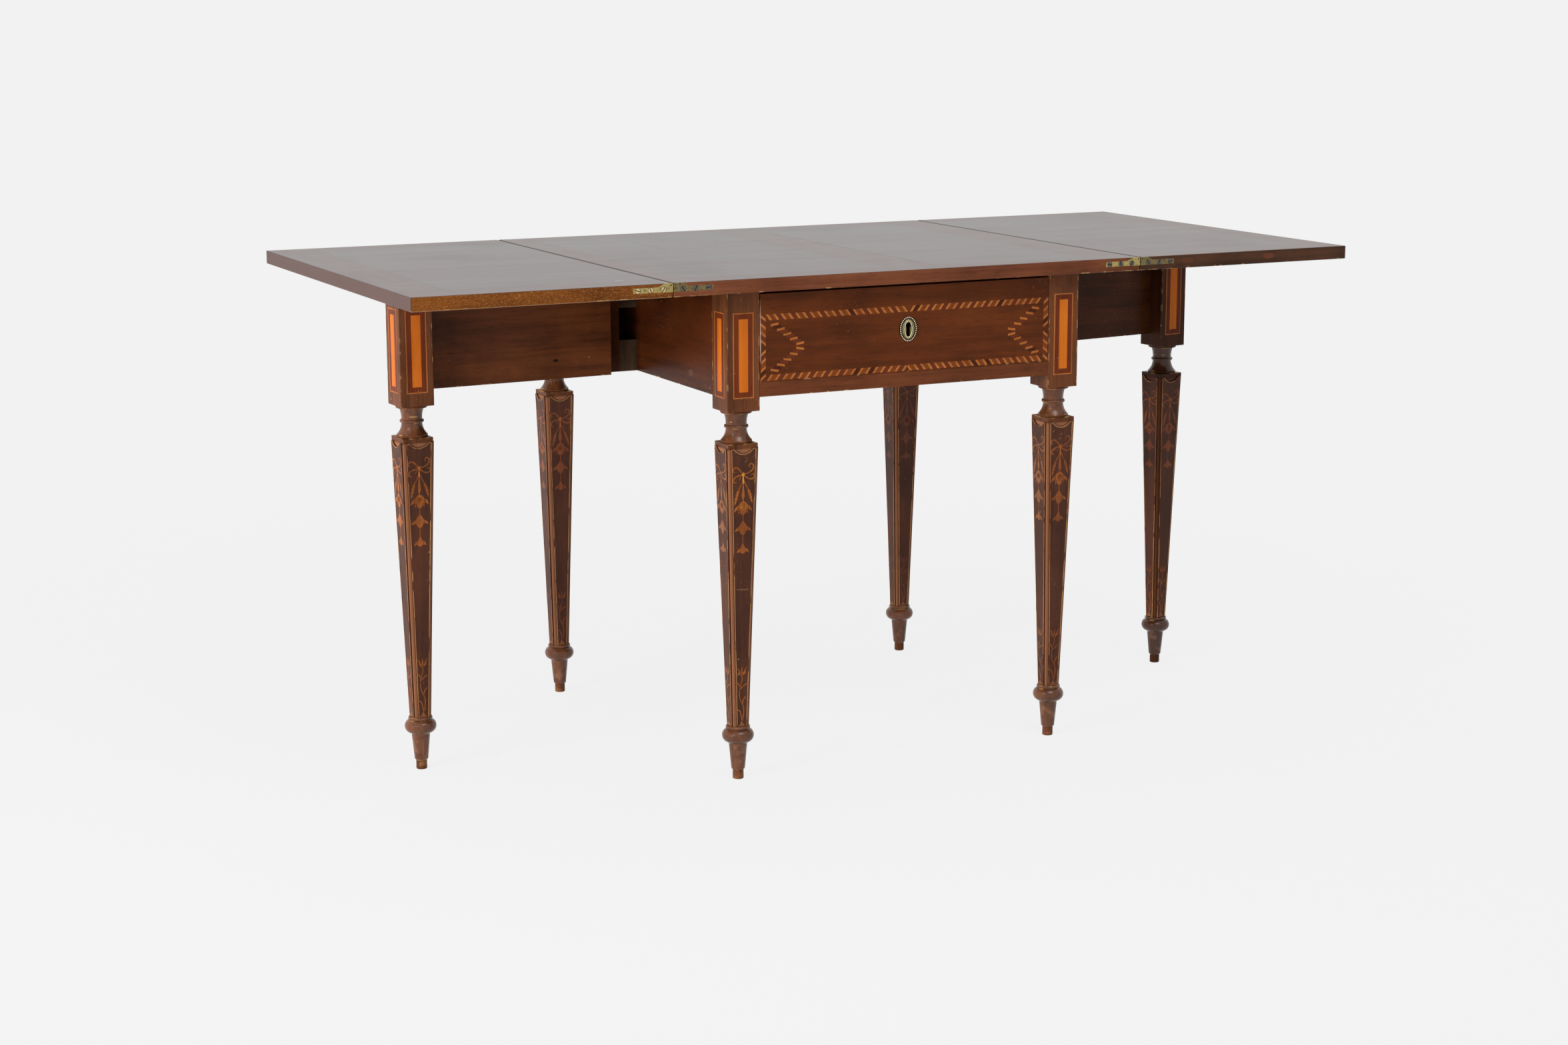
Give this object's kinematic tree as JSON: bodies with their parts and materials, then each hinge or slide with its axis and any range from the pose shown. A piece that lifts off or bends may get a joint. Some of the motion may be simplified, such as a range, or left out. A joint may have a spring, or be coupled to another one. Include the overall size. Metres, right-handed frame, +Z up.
{
  "type": "games table",
  "caption": "Rectangular mahogany games table with two fold-over leaves on brass link hinges, swinging gate legs, a locked frieze drawer and tapered inlaid legs.",
  "frame": {"origin": "on the floor under the middle of the open top", "axes": "+X to the right along the open top, +Y from the drawer front to the back, +Z up"},
  "size_m": [1.6074, 0.738, 0.78],
  "materials": {
    "top_mahogany": "polished",
    "frame_mahogany": "waxed",
    "shaft_veneer": "waxed, with marquetry",
    "lining_wood": "bare",
    "brass": "aged",
    "steel": "dulled"
  },
  "bodies": {
    "frame": {"centre_top": "top_mahogany", "front_left_leg": "frame_mahogany", "front_right_leg": "frame_mahogany", "back_left_leg": "frame_mahogany", "back_right_leg": "frame_mahogany", "front_left_leg_veneers": "shaft_veneer", "front_right_leg_veneers": "shaft_veneer", "back_left_leg_veneers": "shaft_veneer", "back_right_leg_veneers": "shaft_veneer", "front_rail": "frame_mahogany", "back_rail": "frame_mahogany", "left_side_rail": "frame_mahogany", "left_hinge_rail": "frame_mahogany", "left_rail_blocks": "lining_wood", "left_gate_hinge_plates": "brass", "left_gate_hinge_pins": "steel", "left_centre_hinge_plates": "brass", "left_centre_hinge_pins": "steel", "right_side_rail": "frame_mahogany", "right_hinge_rail": "frame_mahogany", "right_rail_blocks": "lining_wood", "right_gate_hinge_plates": "brass", "right_gate_hinge_pins": "steel", "right_centre_hinge_plates": "brass", "right_centre_hinge_pins": "steel", "centre_hinge_screws": "brass", "drawer_runners": "lining_wood", "drawer_guides": "lining_wood", "drawer_stops": "lining_wood", "drawer_kickers": "lining_wood", "top_screws": "steel", "corner_blocks": "lining_wood"},
    "drawer": {"drawer_front": "frame_mahogany", "drawer_left_side": "lining_wood", "drawer_right_side": "lining_wood", "drawer_back": "lining_wood", "drawer_bottom": "lining_wood", "lock_case": "steel", "lock_bolt": "steel", "escutcheon": "brass", "escutcheon_pins": "brass"},
    "left_link": {"left_hinge_links": "brass"},
    "left_leaf": {"left_leaf": "top_mahogany", "left_leaf_hinge_plates": "brass", "left_leaf_hinge_pins": "steel", "left_leaf_hinge_screws": "brass"},
    "left_gate": {"left_gate_leg": "frame_mahogany", "left_gate_leg_veneers": "shaft_veneer", "left_gate_arm": "frame_mahogany", "left_gate_arm_hinge_plates": "brass"},
    "right_link": {"right_hinge_links": "brass"},
    "right_leaf": {"right_leaf": "top_mahogany", "right_leaf_hinge_plates": "brass", "right_leaf_hinge_pins": "steel", "right_leaf_hinge_screws": "brass"},
    "right_gate": {"right_gate_leg": "frame_mahogany", "right_gate_leg_veneers": "shaft_veneer", "right_gate_arm": "frame_mahogany", "right_gate_arm_hinge_plates": "brass"}
  },
  "joints": [
    {"name": "left_link_fold", "type": "hinge", "parent": "frame", "child": "left_link", "pos_m": [-0.3995, 0, 0.777], "axis": [0, 1, 0], "range_deg": [0, 90]},
    {"name": "left_leaf_fold", "type": "hinge", "parent": "left_link", "child": "left_leaf", "pos_m": [-0.4067, 0, 0.777], "axis": [0, 1, 0], "range_deg": [0, 90]},
    {"name": "right_link_fold", "type": "hinge", "parent": "frame", "child": "right_link", "pos_m": [0.3995, 0, 0.777], "axis": [0, -1, 0], "range_deg": [0, 90]},
    {"name": "right_leaf_fold", "type": "hinge", "parent": "right_link", "child": "right_leaf", "pos_m": [0.4067, 0, 0.777], "axis": [0, -1, 0], "range_deg": [0, 90]},
    {"name": "left_gate_swing", "type": "hinge", "parent": "frame", "child": "left_gate", "pos_m": [-0.363, 0, 0.6785], "axis": [0, 0, 1], "range_deg": [-13, 87]},
    {"name": "right_gate_swing", "type": "hinge", "parent": "frame", "child": "right_gate", "pos_m": [0.363, 0, 0.6785], "axis": [0, 0, -1], "range_deg": [-3, 97]},
    {"name": "drawer_slide", "type": "slide", "parent": "frame", "child": "drawer", "axis": [0, -1, 0], "range_m": [0, 0.28]}
  ]
}
